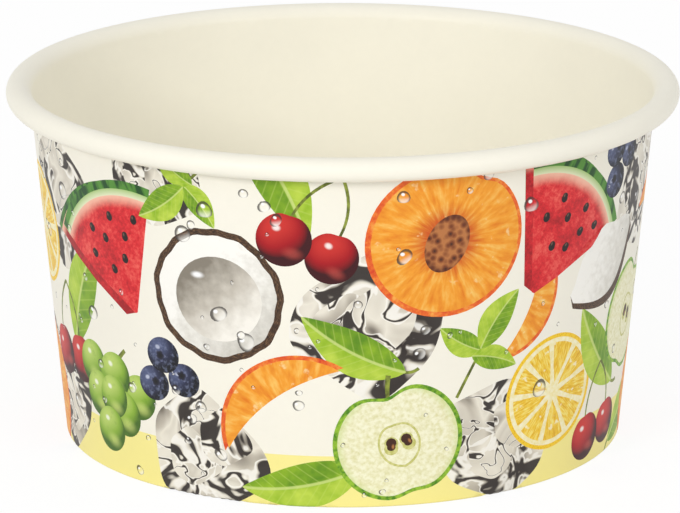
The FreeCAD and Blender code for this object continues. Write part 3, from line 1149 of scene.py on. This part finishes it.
def apple_looks():
    yield mottled_look("apple_skin", (12.0,), (0.36, 74, 132, 22), (0.60, 150, 192, 52))
    look = Printed("apple_flesh")
    body = look.blend(look.mottle(16.0, 4.0, 0.6), (0.30, 226, 222, 168), (0.62, 250, 248, 218))
    rim = look.step(look.reach, 0.78, 0.98)
    yield look.coat(body, (0.6 * rim, 198, 216, 120))
    yield mottled_look("apple_core", (20.0, 2.0), (0.3, 186, 186, 96), (0.7, 222, 218, 148))


def coconut_looks():
    look = Printed("coconut_shell")
    fibre = look.rays(16.0, 8.0, 3.0, 0.6)
    yield look.coat(look.blend(fibre, (0.34, 28, 18, 12), (0.52, 76, 52, 34), (0.72, 142, 108, 74)))
    look = Printed("coconut_flesh")
    light = 0.28 + 0.5 * look.mottle(7.0, 4.0, 0.6) - 0.16 * look.x + 0.2 * look.y
    yield look.coat(look.blend(light, (0.2, 196, 192, 182), (0.45, 232, 229, 220), (0.62, 253, 251, 244)))
    look = Printed("coconut_bowl")
    depth = 0.17 + 0.5 * look.mottle(4.0) + 0.34 * look.x - 0.42 * look.y
    body = look.blend(depth, (0.0, 136, 128, 115), (0.4, 200, 193, 180), (0.85, 249, 245, 235))
    yield look.coat(body, (look.spot(-0.45, 0.5, 0.2, 0.1, 0.8), 255, 255, 255))


def leaf_looks():
    look = Printed("leaf")
    above = look.y - LEAF_BEND * (1.0 - look.x * look.x)
    off = abs(above)
    rib = abs(look.math("FRACT", 5.5 * (look.x - 0.9 * off)) - 0.5)
    veins = 1.0 - look.step(rib, 0.03, 0.12)
    spine = 1.0 - look.step(off, 0.012, 0.035)
    tone = 0.62 * look.mottle(3.2) + 0.26 * look.step(above, -0.06, 0.06)
    body = look.blend(tone, (0.20, 92, 140, 20), (0.46, 150, 188, 38), (0.72, 198, 220, 80))
    yield look.coat(body, (0.25 * veins, 204, 222, 112), (0.7 * spine, 214, 228, 140))
    yield mottled_look("stem", (7.0, 2.0), (0.35, 82, 92, 30), (0.65, 146, 158, 62))


def lemon_looks():
    look = Printed("lemon_rind")
    yield look.coat(look.blend(look.cells(26.0), (0.05, 222, 164, 14), (0.5, 250, 208, 44)))
    yield mottled_look("lemon_pith", (14.0,), (0.3, 246, 232, 164), (0.65, 254, 248, 214))
    look = Printed("lemon_juice")
    sac = look.grain(look.place(2.2 * look.x, 13.0 * look.y, look.seed), 2.6, 3.0, 0.6)
    body = look.blend(sac, (0.30, 222, 164, 20), (0.50, 246, 204, 56), (0.66, 255, 238, 138))
    wet = look.step(look.mottle(8.0, shift=2.0), 0.62, 0.7)
    yield look.coat(body, (0.7 * wet, 255, 252, 222))


def ice_looks():
    look = Printed("ice")
    deep = 9.0 * look.seed
    flow = look.mottle(1.2, 2.0, 0.45, 0.8, deep)
    bend = look.mottle(1.5, 2.5, 0.5, 1.1, deep + 4.0)
    patch = look.mottle(1.3, 1.0, 0.5, 0.0, deep + 8.0)
    body = look.blend(
        flow, (0.30, 112, 104, 94), (0.41, 196, 188, 173), (0.50, 238, 232, 217), (0.62, 214, 207, 192),
        (0.72, 245, 240, 227),
    )
    width = 0.008 + look.step(patch, 0.38, 0.60) * (0.025 + 0.075 * look.reach)
    off = abs(bend - 0.5) / width
    edge = 1.0 - look.step(abs(off - 1.5), 0.2, 0.6)
    dark = 1.0 - look.step(off, 0.5, 1.0)
    yield look.coat(body, (0.8 * edge, 252, 249, 241), (0.98 * dark, 44, 36, 33))


def all_looks():
    """Every material of the sheet, by name."""
    looks = [ground_look(), board_look("board_inside"), edge_look()]
    for makers in (
        peach_looks, melon_looks, seed_looks, berry_looks, apple_looks, coconut_looks, leaf_looks,
        lemon_looks, ice_looks,
    ):
        looks += makers()
    return {look.name: look for look in looks}


# The stage, the light and the camera, in metres

FLOOR_HALF = 8.0
FLOOR_GREY = srgb(246, 246, 246)
FLOOR_GLOW = 0.84
FLOOR_WHITE = 1.05
WORLD_STRENGTH = 0.64
AIM = Vector((0, 0, 0.03))

# The lamps, which point at the aim: place, width and power.
LAMPS = {"key": ((-0.54, -0.87, 0.44), 0.3, 3.5), "fill": ((0.60, -0.80, 0.40), 0.4, 1.5)}

# The photograph's view, fitted to the cup's outline: a long lens, a little above the rim.
VIEW_ELEVATION = math.radians(15.71)
VIEW_DISTANCE = 0.7203
VIEW_AIM_HEIGHT = 0.02378
LENS = {"sensor_width": 36.0, "lens": 276.35, "shift_x": -0.0041, "clip_start": 0.05, "clip_end": 50.0}


def make_floor():
    """A pale floor that shows white, and still takes the cup's shadow."""
    look = Look("floor", 0.9, 0.0)
    look.put(look.shader.inputs["Base Color"], FLOOR_GREY)
    white = look.node("Emission", WHITE, FLOOR_WHITE)
    look.seen_as(FLOOR_GLOW, white, look.shader, "Material Output")
    corners = [(x * FLOOR_HALF, y * FLOOR_HALF, 0) for x, y in ((-1, -1), (1, -1), (1, 1), (-1, 1))]
    floor = MeshMaker(corners, {})
    floor.add((0, 1, 2, 3), 0, [(0, 0, 1)] * 4)
    return floor.make("floor", [look.material])


def make_light(name, place, width, power):
    light = bpy.data.lights.new(name, "AREA")
    light.shape = "DISK"
    light.size = width
    light.energy = power
    lamp = put_in_scene(name, light)
    lamp.location = place
    lamp.rotation_euler = (AIM - Vector(place)).to_track_quat("-Z", "Y").to_euler()


def make_world():
    """Even light from all round, which shows white where the camera sees it."""
    world = bpy.data.worlds.new("studio")
    bpy.context.scene.world = world
    sky = Nodes(world)
    even = sky.nodes["Background"]
    sky.fill(even, Color=WHITE, Strength=WORLD_STRENGTH)
    sky.seen_as(1.0, sky.node("Background", WHITE, 1.0), even, "World Output")


def make_camera():
    lens = bpy.data.cameras.new("camera")
    for name, value in LENS.items():
        setattr(lens, name, value)
    camera = put_in_scene("camera", lens)
    away, up = VIEW_DISTANCE * math.cos(VIEW_ELEVATION), VIEW_DISTANCE * math.sin(VIEW_ELEVATION)
    camera.location = (0, -away, VIEW_AIM_HEIGHT + up)
    camera.rotation_euler = (math.pi / 2 - VIEW_ELEVATION, 0, 0)
    bpy.context.scene.camera = camera


def main():
    bpy.context.scene.view_settings.view_transform = "Standard"
    looks = all_looks()

    sheet = make_sheet(looks)
    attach(sheet, "root")
    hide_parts("sidewall")

    base = make_base(board_look("base_board"), looks["board_edge"])
    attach(base, "root")
    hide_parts("base_disc")

    floor = make_floor()
    floor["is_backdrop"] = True
    make_world()
    for name, lamp in LAMPS.items():
        make_light(name, *lamp)
    make_camera()

    visual_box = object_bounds()
    boxes = {"cad": CAD_BOX, "visual": visual_box}
    {name: [list(corner) for corner in box] for name, box in boxes.items()}


main()
